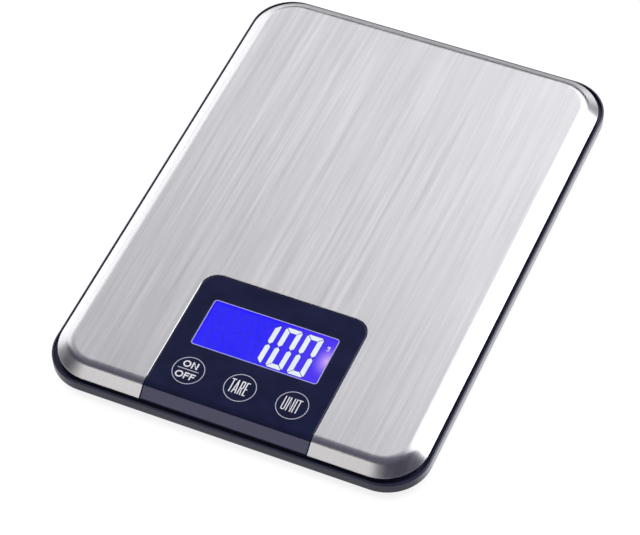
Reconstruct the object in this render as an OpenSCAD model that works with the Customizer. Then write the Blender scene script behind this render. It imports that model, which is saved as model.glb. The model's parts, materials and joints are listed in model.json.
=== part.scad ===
// Slim digital kitchen scale, in millimetres.
// X runs along the front edge, Y to the back and Z up. The origin is on the table, under the centre.

/* [Platform] */
// Width of the steel platform
platform_w = 164; // [150:1:200]
// Length of the steel platform, front to back
platform_l = 227.5; // [210:0.5:280]
// Corner radius of the platform, seen from above
platform_r = 19.4; // [16:0.2:26]
// Thickness of the steel sheet
sheet_t = 0.5; // [0.4:0.1:0.8]
// Outer radius of the bend between the top and the skirt
bend_r = 6; // [4:0.5:8]
// Slope of the skirt, from level
skirt_angle = 40; // [30:5:50]
// Drop from the top to the trimmed edge of the skirt
skirt_drop = 4.8; // [4:0.1:6]
// Thickness of the adhesive sheet under the steel
adhesive_t = 0.2; // [0.1:0.1:0.4]

/* [Base] */
// Height of the underside above the table
stand_h = 3; // [2:0.5:5]
// Wall of the base
base_t = 1.6; // [1.2:0.1:2.4]
// Height at which the outer wall turns into the belly
belly_z = 7.5; // [6.5:0.1:8]
// Slope of the belly, from level
belly_angle = 28; // [20:1:35]
// Radius of the edge between the wall and the belly
base_r = 0.8; // [0.4:0.1:0.8]
// Shadow gap between the steel and the rim
rim_gap = 0.9; // [0.5:0.1:1.5]
// Width of the rim
rim_w = 0.9; // [0.7:0.1:1.4]
// How far the rim lies below the steel's edge
rim_below = 1.2; // [0.8:0.1:2]
// Rounding of the rim's outer edge
rim_round = 0.6; // [0.3:0.1:0.7]
// How much tighter the base's corners are than the steel's
corner_tight = 2.4; // [0.4:1:3.4]

/* [Carrier] */
// Wall of the upper housing
carrier_t = 1.2; // [1:0.1:1.6]
// Overlap of the upper housing inside the base
lap_h = 1.3; // [1:0.1:1.5]

/* [Control panel] */
// Width of the panel
panel_w = 74.2; // [70:0.2:90]
// Length of the panel from the front edge
panel_l = 67; // [64:1:82]
// Radius of the panel's two rear corners
panel_r = 7.5; // [4:0.5:12]
// Thickness of the panel
panel_t = 1.5; // [1.2:0.1:2]
// How far the panel lies below the steel
panel_sink = 0.1; // [0:0.05:0.3]
// Gap between the panel and the steel
panel_gap = 0.25; // [0.15:0.05:0.5]
// Width of the display window
window_w = 56.6; // [46:0.2:60]
// Height of the display window
window_l = 24.6; // [20:0.2:27]
// Distance from the front edge to the middle of the window
window_y = 42.45; // [40:0.05:46]
// Distance between neighbouring keys
key_pitch = 23.1; // [20:0.1:25]
// Distance from the front edge to the middle of the keys
key_y = 17.45; // [16:0.05:20]

/* [Feet] */
// Inset of the feet from the sides of the platform
foot_inset = 22; // [20:1:28]
// Diameter of a foot
foot_d = 20.4; // [18:0.2:25]
// Travel of a foot under load
foot_travel = 0.3; // [0.2:0.05:0.5]

/* [Battery bay] */
// Distance of the bay's middle behind the middle of the scale
bay_y = 18; // [0:1:40]
// Thickness of the battery door
door_t = 1.2; // [1:0.1:1.6]
// Thickness of the bay's ceiling
bay_ceiling = 0.9; // [0.8:0.1:1.6]
// Free height between the ceiling and the upper housing
bay_headroom = 0.1; // [0.1:0.1:6]

/* [Hidden] */
$fn = 72;

// Clearances: beside a moving or dropped-in piece, round a glued or pressed one, and of a stepped joint
slip = 0.3;
hole_slip = 0.05;
lap_slip = 0.15;
// Overlap that fuses two shapes of one piece
fuse = 0.2;

// AAA cell: diameter, length without the button, and the button
cell_d = 10.5;
cell_l = 43.6;
button_l = 0.9;
button_d = 3.8;

// The batteries set the height of the weighing surface
door_top = stand_h + door_t;
cell_lift = 0.4;
cell_z = door_top + cell_lift + cell_d / 2;
ceiling_z = cell_z + cell_d / 2;
platform_z = ceiling_z + bay_ceiling + bay_headroom + carrier_t + adhesive_t + sheet_t;

// Run of the skirt, from the end of the flat top to the trimmed edge
slope_l = (skirt_drop - bend_r * (1 - cos(skirt_angle))) / sin(skirt_angle);
skirt_run = bend_r * sin(skirt_angle) + slope_l * cos(skirt_angle);

// Heights of the steel's trimmed edge, the rim, the step behind the rim and the inner floor
edge_z = platform_z - skirt_drop;
rim_z = edge_z - rim_below;
step_z = rim_z - 2.2;
floor_z = stand_h + base_t;

// Corner radius of the base and of the upper housing's edge, measured on the steel's outline
base_corner = platform_r - corner_tight;

// Upper housing: depth of its outside under the steel, underside, and the part that laps into the base
carrier_depth = sheet_t + adhesive_t;
carrier_z = platform_z - carrier_depth - carrier_t;
edge_inset = 1.2;
edge_wall = 1.6;
edge_land = 0.6;
lap_t = 0.85;
flange_h = 0.6;
rib_t = 1.2;
carrier_rib_h = 3;

// Panel underside, and the bed that carries the panel
panel_z = platform_z - panel_sink - panel_t;
bed_t = 1.2;
bed_z = panel_z - bed_t;
bed_margin = 2;

// Window: corner radius, and the flange behind its opening
window_r = 1.5;
window_flange = 1;
window_flange_t = 0.5;

// Display stack: two glasses over the light guide, with a contact ledge along the front
glass_t = 0.7;
glass_w = window_w + 5.4;
glass_l = window_l + 7.4;
contact_l = 3.2;
backlight_t = 2.7;
backlight_w = window_w + 1.4;
backlight_l = window_l + 1.4;
glass_z = panel_z - 0.1;
backlight_z = glass_z - 2 * glass_t - backlight_t;
frame_t = 1.2;

// Board under the display, and its screws
board_t = 1.2;
board_w = glass_w + 10;
board_front = 9.5;
board_l = 50;
board_z = backlight_z - board_t;
board_back = board_front + board_l - platform_l / 2;
board_hole = 2.4;
board_inset = 3.2;
board_screw_d = 1.8;
board_screw_head_d = 3.6;
board_screw_head_h = 1.2;
board_screw_l = 5;

// Feet: rubber sole, cup with its inner flange, and the stem under the load cell
pad_t = 1.4;
pad_seat = 0.4;
cup_t = 1;
cup_floor_z = pad_t + 1.2;
flange_w = 1.6;
flange_t = 1;
flange_z = floor_z + 0.05;
stem_d = 8;

// Load cells: plate, its seat, the posts above it, the tongue cut free in it and the gauge on its root
plate_rib = 1.6;
plate_w = foot_d + 2 * (flange_w + plate_rib + 1.6);
plate_l = foot_d + 7.6;
post_l = plate_l - 10;
plate_t = 1.2;
plate_r = 3;
plate_z = floor_z + 4.2;
tongue_w = 10;
tongue_l = 17;
tongue_slot = 2;
tongue_play = foot_travel + 0.05;
gauge_w = 6;
gauge_l = 5;
gauge_t = 0.4;
gauge_y = -6;

// Place of the feet, far enough in for the posts to clear the platform's rounded corners
corner_reach = plate_w / 2 + 0.35 * platform_r + 0.2;
foot_x = platform_w / 2 - max(foot_inset, corner_reach);
foot_y = platform_l / 2 - max(foot_inset, corner_reach);

// Battery bay: room for two cells, its walls, and the thick floor round the door
bay_l = 52;
bay_w = 2 * cell_d + 1.6;
bay_wall = 1.2;
ledge_w = 3;
door_l = bay_l + 2 * ledge_w;
door_w = bay_w + 2 * ledge_w - 0.6;
pad_z = door_top + 1.6;
pad_margin = 3;
cell_gap = 0.6;

// Contacts: plate, its height, and the soldering tab that passes through the wall
contact_t = 0.4;
contact_h = 9;
contact_tab_w = 2;
contact_tab_z = cell_z + 2;
cell_shift = bay_l / 2 - contact_t - button_l - cell_l / 2;

// Door: two tabs that hook in at the back, the latch finger and the finger scoop at the front
tab_w = 7;
tab_x = 17;
tab_reach = 2.2;
tab_t = 1.1;
tab_root = 3;
latch_w = 10;
latch_t = 1;
latch_h = 3.4;
scoop_r = 20;
scoop_depth = 0.9;

// Shallow place for a label on the underside, left bare
label_y = -46;
label_w = 58;
label_l = 30;
label_r = 2;
label_depth = 0.3;

// Housing screws, with their bosses in the base and in the carrier
screw_d = 2.6;
screw_head_d = 5;
screw_head_h = 1.7;
screw_l = 8.5;
screw_slot_w = 0.7;
screw_slot_l = 3;
screw_seat = floor_z + 1.2;
boss_d = 8;
boss_z = floor_z + 4.8;
boss_wall = 1.7;

// Places of the housing screws: inset from the sides, two rows along them, and two screws at each end
side_inset = 11;
side_rear = 42;
side_front = -40;
end_inset = 14;
end_x = 28;

// Leads: radius and spacing of the wires, reach of a bend, and the ribs they rest on
lead_r = 0.4;
lead_pitch = 0.95;
lead_bend = 4;
lead_sides = 6;
lead_half = lead_r * cos(180 / lead_sides);
rib_z = floor_z + 2;

// A pair of values mirrored about the middle plane
function both(x, y) = [[-x, y], [x, y]];
screw_at = concat(both(platform_w / 2 - side_inset, side_rear), both(platform_w / 2 - side_inset, side_front),
    both(end_x, platform_l / 2 - end_inset));
board_screw_at = concat(both(board_w / 2 - board_inset, board_back - board_inset),
    both(board_w / 2 - board_inset, board_back - board_l + board_inset));

// One ring sector of a profile, from angle a to angle b, at most a right angle apart
module arc_band(r_out, r_in, a, b) intersection() {
    difference() {
        circle(r_out);
        circle(r_in);
    }
    rotate(a) square(2 * r_out);
    rotate(b - 90) square(2 * r_out);
}

// Profile of a layer under the steel's outer surface, from depth a to depth b. X is measured outwards
// from the trimmed edge, and the flat part reaches inwards by reach.
module skirt_band(a, b, reach, past = 0) {
    translate([-reach, platform_z - b]) square([reach - skirt_run, b - a]);
    translate([-skirt_run, platform_z - bend_r]) {
        arc_band(bend_r - a, bend_r - b, 90 - skirt_angle, 90);
        rotate(-skirt_angle) translate([0, bend_r - b]) square([slope_l + past, b - a]);
    }
}

// Carries a profile round the platform's outline with corner radius r, and fills the middle from z0 to z1
module around(z0, z1, r = platform_r) {
    w = platform_w / 2;
    l = platform_l / 2;
    for (m = [0, 1]) {
        mirror([m, 0, 0]) translate([w, l - r, 0]) rotate([90, 0, 0])
            linear_extrude(2 * (l - r)) children();
        mirror([0, m, 0]) translate([r - w, l, 0]) rotate([90, 0, 90])
            linear_extrude(2 * (w - r)) children();
        for (n = [0, 1]) mirror([m, 0, 0]) mirror([0, n, 0]) translate([w - r, l - r, 0])
            rotate_extrude(angle = 90) translate([r, 0]) children();
    }
    translate([r - w, r - l, z0]) cube([2 * (w - r), 2 * (l - r), z1 - z0]);
}

// Rectangle with round corners, about the origin
module round_rect(w, l, r) {
    square([w - 2 * r, l], center = true);
    square([w, l - 2 * r], center = true);
    for (x = [-1, 1], y = [-1, 1]) translate([x * (w / 2 - r), y * (l / 2 - r)]) circle(r);
}

// Outline of the panel from above, grown by g and open towards the front
module panel_outline(g) {
    w = panel_w / 2 + g;
    r = panel_r + g;
    back = panel_l - platform_l / 2 + g;
    front = -platform_l / 2 - 5;
    translate([-w, front]) square([2 * w, back - r - front]);
    translate([r - w, front]) square([2 * (w - r), back - front]);
    for (s = [-1, 1]) translate([s * (w - r), back - r]) circle(r);
}

// A layer of the panel region, from depth a to depth b under the steel's surface
module panel_layer(a, b, g, past = 0) {
    intersection() {
        translate([-panel_w / 2 - 5, -platform_l / 2, 0]) rotate([90, 0, 90])
            linear_extrude(panel_w + 10) mirror([1, 0]) skirt_band(a, b, panel_l + 5, past);
        linear_extrude(platform_z + 5) panel_outline(g);
    }
}

// Places children at the middle of the window, and at each key
module at_window() translate([0, window_y - platform_l / 2, 0]) children();
module at_keys() for (k = [-1, 0, 1]) translate([k * key_pitch, key_y - platform_l / 2, 0]) children();

// Brushed steel sheet with its skirt, notched for the panel
module platform_pan() color("silver") difference() {
    around(platform_z - sheet_t, platform_z) skirt_band(0, sheet_t, platform_r);
    translate([0, 0, edge_z - 5]) linear_extrude(skirt_drop + 10) panel_outline(panel_gap);
}

// Double-sided sheet that bonds the steel to the carrier
module platform_adhesive() color("white") {
    inset = skirt_run + 1;
    difference() {
        translate([0, 0, platform_z - carrier_depth]) linear_extrude(adhesive_t)
            round_rect(platform_w - 2 * inset, platform_l - 2 * inset, platform_r - inset);
        translate([0, 0, carrier_z]) linear_extrude(5) panel_outline(2);
    }
}

// Section of the upper housing's sloped shell, trimmed inside the steel's edge
module shell_section() intersection() {
    skirt_band(carrier_depth, carrier_depth + carrier_t, platform_r, 3);
    translate([-platform_r, step_z]) square([platform_r - edge_inset, platform_z]);
}

// Section of its edge: the lap inside the base, the flange on the base's step and the wall up to the shell
module edge_section() {
    inner = -edge_inset - edge_wall;
    outer = rim_gap + rim_w - base_t - lap_slip;
    translate([outer - lap_t, step_z - lap_h]) square([lap_t, lap_h + hole_slip]);
    translate([inner, step_z]) square([rim_gap - lap_slip - inner, flange_h]);
    translate([inner, step_z]) square([edge_wall, edge_z - edge_land - step_z]);
}

// Upper housing under the steel, with the bed for the panel and the display
module platform_carrier() color([0.1, 0.1, 0.12]) difference() {
    union() {
        around(carrier_z, carrier_z + carrier_t) shell_section();
        around(carrier_z, carrier_z + carrier_t, base_corner) edge_section();
        panel_layer(panel_sink + panel_t, panel_sink + panel_t + bed_t, bed_margin);
        display_frame();
        for (p = screw_at) translate([p.x, p.y, boss_z + 0.1])
            cylinder(d = screw_d + 2 * boss_wall, h = carrier_z - boss_z + fuse);
        for (p = board_screw_at) translate([p.x, p.y, board_z + board_t])
            cylinder(d = board_screw_d + 2 * boss_wall, h = bed_z - board_z - board_t + fuse);
        for (x = [-1, 1], y = [-1, 1], s = [-1, 1])
            translate([x * foot_x + s * (plate_w - plate_rib) / 2, y * foot_y, plate_z + plate_t])
                post(plate_rib, post_l, carrier_z - plate_z - plate_t + 0.1);
        carrier_ribs();
    }
    panel_layer(-5, panel_sink + panel_t, panel_gap, 4);
    at_window() translate([0, 0, bed_z - 5]) linear_extrude(20)
        square([glass_w + 2 * slip, glass_l + 2 * slip], center = true);
    at_keys() translate([0, 0, bed_z - 1]) cylinder(d = 8, h = 5);
    for (p = screw_at) translate([p.x, p.y, boss_z - 1]) cylinder(d = screw_d + 2 * hole_slip, h = 6);
    for (p = board_screw_at) translate([p.x, p.y, board_z])
        cylinder(d = board_screw_d + 2 * hole_slip, h = 4.5);
}

// A square post about the origin
module post(w, l, h) translate([-w / 2, -l / 2, 0]) cube([w, l, h]);

// Four walls under the bed that hold the display and its backlight
module display_frame() at_window() translate([0, 0, backlight_z + 0.3]) difference() {
    post(glass_w + 2 * slip + 2 * frame_t, glass_l + 2 * slip + 2 * frame_t, bed_z - backlight_z);
    translate([0, 0, -1]) post(glass_w + 2 * slip, glass_l + 2 * slip, 20);
}

// Stiffening ribs under the carrier, clear of the bay, the display and the screws
module carrier_ribs() {
    back = platform_l / 2 - 10;
    front = panel_l - platform_l / 2 + 8;
    for (x = [-44, 44]) translate([x, (back + front) / 2, carrier_z - carrier_rib_h])
        post(rib_t, back - front, carrier_rib_h + fuse);
    for (y = [bay_y - 26, bay_y + 30, back - 14]) translate([0, y, carrier_z - carrier_rib_h])
        post(platform_w - 30, rib_t, carrier_rib_h + fuse);
}

// Glossy panel with the window opening and a recess behind it for the window's flange
module control_panel() color([0.11, 0.12, 0.2]) difference() {
    panel_layer(panel_sink, panel_sink + panel_t, 0);
    at_window() translate([0, 0, panel_z - 1]) {
        linear_extrude(5) round_rect(window_w, window_l, window_r);
        linear_extrude(1 + window_flange_t)
            round_rect(window_w + 2 * window_flange, window_l + 2 * window_flange, window_r + window_flange);
    }
}

// Clear window, flush with the panel, with a flange behind the opening
module display_window() color([0.6, 0.65, 1, 0.5]) at_window() translate([0, 0, panel_z]) {
    linear_extrude(panel_t)
        round_rect(window_w - 2 * hole_slip, window_l - 2 * hole_slip, window_r - hole_slip);
    linear_extrude(window_flange_t) round_rect(window_w + 2 * (window_flange - hole_slip),
        window_l + 2 * (window_flange - hole_slip), window_r + window_flange - hole_slip);
}

// Display cell: a long front glass with its contact ledge, and a shorter rear glass
module lcd_glass() color([0.25, 0.2, 0.95]) at_window() translate([0, 0, glass_z - 2 * glass_t]) {
    translate([0, 0, glass_t]) post(glass_w, glass_l, glass_t);
    translate([0, contact_l / 2, 0]) post(glass_w, glass_l - contact_l, glass_t);
}

// Light guide behind the glass
module lcd_backlight() color("white") at_window() translate([0, contact_l / 2, backlight_z])
    post(backlight_w, backlight_l, backlight_t);

// Side light at the right end of the guide
module backlight_led() color("ivory") at_window()
    translate([backlight_w / 2 + 0.6, contact_l / 2, backlight_z]) post(1.2, 5, 2.2);

// Rubber strip that carries the signals from the board to the glass
module lcd_connector() color("dimgray") at_window()
    translate([0, (contact_l - glass_l) / 2, backlight_z]) post(window_w - 0.6, 2, backlight_t + glass_t);

// Circuit board, with its screw holes
module main_board() color("darkgreen") difference() {
    translate([0, board_back - board_l / 2, board_z]) post(board_w, board_l, board_t);
    for (p = board_screw_at) translate([p.x, p.y, board_z - 1]) cylinder(d = board_hole, h = 4);
}

// Parts under the board: the chip under its blob, capacitors, resistors and the crystal
module board_components() color([0.15, 0.15, 0.15]) translate([0, board_back, board_z]) {
    translate([0, -20, -1.5]) cylinder(d1 = 8, d2 = 10, h = 1.5);
    for (x = [-20, -15, -10, 12, 16, 20, 24]) translate([x, -30, -0.8]) post(1.2, 2, 0.8);
    for (x = [-22, 18]) translate([x, -18, -2.5]) cylinder(d = 4, h = 2.5);
    translate([-12, -12, -1.2]) post(8, 3.2, 1.2);
}

// Contact springs under the keys, one coil each
module touch_springs() color("gold") at_keys()
    coil(2.6, 2.6, 0.25, board_z + board_t, panel_z, 4, 16);

// Round wire wound in a helix that narrows from radius r0 to r1, between heights z0 and z1. The least
// gap between neighbouring turns is measured on the wire's middle line and printed.
module coil(r0, r1, wire, z0, z1, turns, steps) {
    n = turns * steps;
    function line(i, out, up) = let (a = 360 * i / steps, r = r0 + (r1 - r0) * i / n + out)
        [r * cos(a), r * sin(a), z0 + wire + (z1 - z0 - 2 * wire) * i / n + up];
    echo(least_gap = min([for (i = [0 : n - steps])
        norm(line(i + steps, 0, 0) - line(i, 0, 0))]) - 2 * wire);
    tube([for (i = [0 : n], j = [0 : 5]) line(i, wire * cos(60 * j), wire * sin(60 * j))], 6);
}

// Closed skin over a row of rings, each of as many points as it has sides
module tube(points, sides) {
    n = len(points) / sides - 1;
    walls = [for (i = [0 : n - 1], j = [0 : sides - 1])
        let (a = i * sides + j, b = i * sides + (j + 1) % sides)
            each [[a, a + sides, b + sides], [a, b + sides, b]]];
    first = [for (j = [1 : sides - 2]) [0, j, j + 1]];
    last = [for (j = [1 : sides - 2]) [n * sides, n * sides + j + 1, n * sides + j]];
    polyhedron(points, concat(walls, first, last));
}

// Line through a list of points, with a bend at each one between the ends
function bent(p) = [p[0], for (i = [1 : len(p) - 2])
    let (a = p[i - 1] - p[i], b = p[i + 1] - p[i], reach = min(lead_bend, 0.45 * norm(a), 0.45 * norm(b)))
        for (t = [0 : 0.25 : 1]) p[i] + reach * (a / norm(a) * (1 - t) ^ 2 + b / norm(b) * t ^ 2),
    p[len(p) - 1]];

// Round wire along a line that never runs straight up, moved sideways by side
module lead(line, side = 0) {
    n = len(line) - 1;
    function dir(i) = let (v = line[min(i + 1, n)] - line[max(i - 1, 0)]) v / norm(v);
    function out(i) = let (v = cross(dir(i), [0, 0, 1])) v / norm(v);
    tube([for (i = [0 : n], j = [0 : lead_sides - 1]) let (a = 360 * j / lead_sides)
        line[i] + (side + lead_r * cos(a)) * out(i) + lead_r * sin(a) * cross(out(i), dir(i))], lead_sides);
}

// Three wires from each gauge to the edge of the board. Those of the rear cells lie on the base's ribs.
module sensor_leads() color("white") {
    start = plate_z + plate_t + gauge_t + lead_half;
    end = board_z - lead_half;
    near = (board_w / 2 + foot_x - plate_w / 2) / 2;
    round_post = -foot_y - post_l / 2 - 3;
    front = [[foot_x, -foot_y + gauge_y, start], [foot_x, round_post, start], [near, round_post, start],
        [near, -foot_y - 4, end], [board_w / 2 - 2, -foot_y - 4, end]];
    lane = foot_x - 4;
    leave = foot_y - plate_l / 2 - 2;
    rear = [[foot_x, foot_y + gauge_y, start], [foot_x, leave, start], [lane, leave - 10, rib_z + lead_half],
        [lane, board_back + 6, rib_z + lead_half], [near, board_back - 11, end],
        [board_w / 2 - 3, board_back - 11, end]];
    for (m = [0, 1], side = [-1, 0, 1]) mirror([m, 0, 0]) {
        lead(bent(front), side * lead_pitch);
        lead(bent(rear), side * lead_pitch);
    }
}

// Two wires from the contact tabs to the rear edge of the board
module battery_leads() color("firebrick") for (s = [-1, 1]) {
    y = bay_y + s * (cell_d + cell_gap) / 2;
    lane = bay_l / 2 + 5 + s * 0.6;
    end = 20 + s * 0.6;
    start_z = contact_tab_z + contact_t + lead_half;
    lead(bent([[bay_l / 2 + bay_wall + 0.3, y, start_z], [lane, y, start_z], [lane, y - 9, rib_z + lead_half],
        [lane, board_back + 8, rib_z + lead_half], [end, board_back + 1, board_z - lead_half],
        [end, board_back - 3, board_z - lead_half]]));
}

// Screws that hold the board to the bosses
module board_screws() color("silver") for (p = board_screw_at) translate([p.x, p.y, board_z]) {
    mirror([0, 0, 1]) cylinder(d = board_screw_head_d, h = board_screw_head_h);
    translate([0, 0, -board_screw_head_h]) cylinder(d = board_screw_d, h = board_screw_l);
}

// Section of the base's edge: floor, sloped belly, rounded foot of the wall, wall, step and rim
module base_section() {
    out = rim_gap + rim_w;
    turn = [out - base_r, belly_z] + base_r * [sin(belly_angle), -cos(belly_angle)];
    rise = base_t / cos(belly_angle);
    function belly_x(z) = turn.x - (turn.y - z) / tan(belly_angle);
    translate([-base_corner, stand_h]) square([base_corner + belly_x(stand_h), base_t]);
    polygon([[belly_x(stand_h) - 1, stand_h], [belly_x(stand_h), stand_h], turn,
        [out - base_r, belly_z], [out, belly_z], [out, step_z], [out - base_t, step_z],
        [out - base_t, turn.y + rise + (out - base_t - turn.x) * tan(belly_angle)],
        [belly_x(floor_z - rise), floor_z], [belly_x(stand_h) - 1, floor_z]]);
    translate([out - base_r, belly_z]) arc_band(base_r, 0, belly_angle - 90, 0);
    translate([rim_gap, step_z]) square([rim_w - rim_round, rim_z - step_z]);
    translate([out - rim_round, step_z]) square([rim_round, rim_z - rim_round - step_z]);
    translate([out - rim_round, rim_z - rim_round]) arc_band(rim_round, 0, 0, 90);
}

// Plastic base: rim, floor, foot openings, battery bay, screw bosses and ribs under the load cells
module base_tray() color([0.16, 0.17, 0.22]) difference() {
    union() {
        around(stand_h, floor_z, base_corner) base_section();
        for (p = screw_at) translate([p.x, p.y, floor_z - fuse])
            cylinder(d = boss_d, h = boss_z - floor_z + fuse);
        for (x = [-1, 1], y = [-1, 1]) translate([x * foot_x, y * foot_y, floor_z - fuse]) cell_seat();
        translate([0, bay_y, 0]) bay_walls();
        base_ribs();
    }
    for (x = [-1, 1], y = [-1, 1]) translate([x * foot_x, y * foot_y, 0])
        cylinder(d = foot_d + 2 * slip, h = plate_z);
    for (p = screw_at) translate([p.x, p.y, 0]) {
        cylinder(d = screw_head_d + 2 * slip, h = screw_seat);
        cylinder(d = screw_d + slip, h = carrier_z);
    }
    translate([0, bay_y, 0]) bay_space();
    translate([0, label_y, stand_h - 1]) linear_extrude(1 + label_depth)
        round_rect(label_w, label_l, label_r);
}

// Two ribs on which a load cell rests
module cell_seat() for (s = [-1, 1]) translate([s * (plate_w - plate_rib) / 2, 0, 0])
    post(plate_rib, plate_l - 4, plate_z - floor_z + fuse);

// Stiffening ribs on the floor
module base_ribs() {
    h = rib_z - floor_z + fuse;
    for (y = [-52, -34, 34]) translate([0, bay_y + y, floor_z - fuse]) post(platform_w - 24, rib_t, h);
    for (x = [-50, 50]) translate([x, bay_y, floor_z - fuse]) post(rib_t, 66, h);
}

// Pad, walls and ceiling of the battery bay
module bay_walls() {
    w = bay_l + 2 * bay_wall;
    l = bay_w + 2 * bay_wall;
    translate([0, 0, floor_z - fuse])
        post(door_l + 2 * pad_margin, door_w + 2 * pad_margin + 2, pad_z - floor_z + fuse);
    translate([0, 0, floor_z - fuse]) post(w, l, ceiling_z + bay_ceiling - floor_z + fuse);
}

// Everything cut out of the base for the batteries and the door
module bay_space() {
    back = door_w / 2;
    post(bay_l, bay_w, ceiling_z);
    post(door_l + 2 * slip, door_w + 2 * slip, door_top);
    for (x = [-tab_x, tab_x]) translate([x - tab_w / 2 - slip, back - tab_root - slip - 0.2, door_top - 0.1])
        cube([tab_w + 2 * slip, tab_root + tab_reach + 1.1, 3]);
    translate([-latch_w / 2 - slip, -back - slip, stand_h])
        cube([latch_w + 2 * slip, latch_t + 2.6, latch_h + 0.6]);
    translate([0, -back - 2, stand_h + scoop_depth - scoop_r]) sphere(scoop_r);
    for (s = [-1, 1]) translate([bay_l / 2 - 1, s * (cell_d + cell_gap) / 2, contact_tab_z - slip])
        translate([0, -contact_tab_w / 2 - slip, 0])
            cube([bay_wall + 2, contact_tab_w + 2 * slip, contact_t + 2 * slip]);
}

// Screws from below through the base into the carrier
module housing_screws() color("silver") for (p = screw_at) translate([p.x, p.y, 0]) difference() {
    union() {
        translate([0, 0, screw_seat - screw_head_h]) cylinder(d = screw_head_d, h = screw_head_h);
        translate([0, 0, screw_seat - screw_head_h]) cylinder(d = screw_d, h = screw_l + screw_head_h);
    }
    for (a = [0, 90]) rotate(a) translate([0, 0, screw_seat - screw_head_h - 0.1])
        post(screw_slot_l, screw_slot_w, 0.9);
}

// Load cell: a steel plate whose tongue, cut free on three sides, bends over the foot
module load_cell(x, y) color("lightgray") translate([x * foot_x, y * foot_y, plate_z])
    linear_extrude(plate_t) difference() {
        round_rect(plate_w, plate_l, plate_r);
        translate([0, -tongue_l / 2 - 1.5]) difference() {
            translate([-tongue_w / 2 - tongue_slot, 0])
                square([tongue_w + 2 * tongue_slot, tongue_l + 1.5 * tongue_slot]);
            translate([-tongue_w / 2, -1]) square([tongue_w, tongue_l + 1]);
        }
    }
module load_cell_front_left() load_cell(-1, -1);
module load_cell_front_right() load_cell(1, -1);
module load_cell_rear_left() load_cell(-1, 1);
module load_cell_rear_right() load_cell(1, 1);

// Gauge and its coating on each tongue
module strain_gauges() color("white") for (x = [-1, 1], y = [-1, 1])
    translate([x * foot_x, y * foot_y + gauge_y, plate_z + plate_t]) post(gauge_w, gauge_l, gauge_t);

// Foot: a moulded cup with a flange inside the base and a stem under the load cell's tongue
module foot_cup(x, y) color([0.16, 0.17, 0.22]) translate([x * foot_x, y * foot_y, 0]) {
    low = pad_t - pad_seat;
    top = flange_z + flange_t;
    difference() {
        union() {
            translate([0, 0, low]) cylinder(d = foot_d, h = top - low);
            translate([0, 0, flange_z]) cylinder(d = foot_d + 2 * flange_w, h = flange_t);
        }
        translate([0, 0, low - 1]) cylinder(d = foot_d - 2 * cup_t, h = 1 + pad_seat);
        translate([0, 0, cup_floor_z]) cylinder(d = foot_d - 3 * cup_t, h = top);
    }
    translate([0, 0, cup_floor_z - fuse])
        cylinder(d = stem_d, h = plate_z - tongue_play - cup_floor_z + fuse);
    for (a = [0, 90]) rotate(a) translate([0, 0, cup_floor_z - fuse])
        post(foot_d - 2 * cup_t, rib_t, top - cup_floor_z + fuse - 0.5);
}
module foot_cup_front_left() foot_cup(-1, -1);
module foot_cup_front_right() foot_cup(1, -1);
module foot_cup_rear_left() foot_cup(-1, 1);
module foot_cup_rear_right() foot_cup(1, 1);

// Rubber sole of a foot, with a chamfered lower edge
module foot_pad(x, y) color([0.2, 0.2, 0.2]) translate([x * foot_x, y * foot_y, 0]) {
    r = foot_d / 2 - cup_t - hole_slip;
    chamfer = 0.4;
    rotate_extrude() polygon([[0, 0], [r - chamfer, 0], [r, chamfer], [r, pad_t], [0, pad_t]]);
}
module foot_pad_front_left() foot_pad(-1, -1);
module foot_pad_front_right() foot_pad(1, -1);
module foot_pad_rear_left() foot_pad(-1, 1);
module foot_pad_rear_right() foot_pad(1, 1);

// Places a cell's frame along X: s = -1 is the front cell, which points left, s = 1 the rear one
module at_cell(s) translate([0, bay_y + s * (cell_d + cell_gap) / 2, cell_z])
    rotate([0, 0, s < 0 ? 180 : 0]) translate([cell_shift, 0, 0]) rotate([0, 90, 0]) children();

// Two round cells side by side, pointing opposite ways
module battery_cells() color("gray") for (s = [-1, 1]) at_cell(s) {
    translate([0, 0, -cell_l / 2]) cylinder(d = cell_d, h = cell_l);
    translate([0, 0, cell_l / 2]) cylinder(d = button_d, h = button_l);
}

// Tapered springs on the flat ends of the cells
module battery_springs() color("silver") for (s = [-1, 1]) at_cell(s)
    coil(4.2, 2.4, 0.3, -bay_l / 2 - cell_shift + contact_t, -cell_l / 2, 4, 14);

// Contact plates at the two ends of the bay: one joins the cells, two carry the leads
module battery_plates() color("silver") translate([0, bay_y, 0]) {
    low = cell_z - contact_h / 2;
    translate([(contact_t - bay_l) / 2, 0, low]) post(contact_t, bay_w - 2, contact_h);
    for (s = [-1, 1]) translate([(bay_l - contact_t) / 2, s * (cell_d + cell_gap) / 2, 0]) {
        translate([0, 0, low]) post(contact_t, cell_d - 2, contact_h);
        translate([0, -contact_tab_w / 2, contact_tab_z]) cube([bay_wall + 2, contact_tab_w, contact_t]);
    }
}

// Door: plate, two tabs at the back and the latch finger at the front
module battery_door() color([0.16, 0.17, 0.22]) translate([0, bay_y, stand_h]) {
    back = door_w / 2;
    post(door_l, door_w, door_t);
    for (x = [-tab_x, tab_x]) translate([x - tab_w / 2, back - tab_root, door_t - 0.1]) {
        cube([tab_w, tab_root, tab_t + fuse]);
        translate([0, 0, fuse]) cube([tab_w, tab_root + tab_reach, tab_t]);
    }
    translate([-latch_w / 2, 2 * slip - back, 0]) cube([latch_w, latch_t, latch_h]);
}

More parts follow.
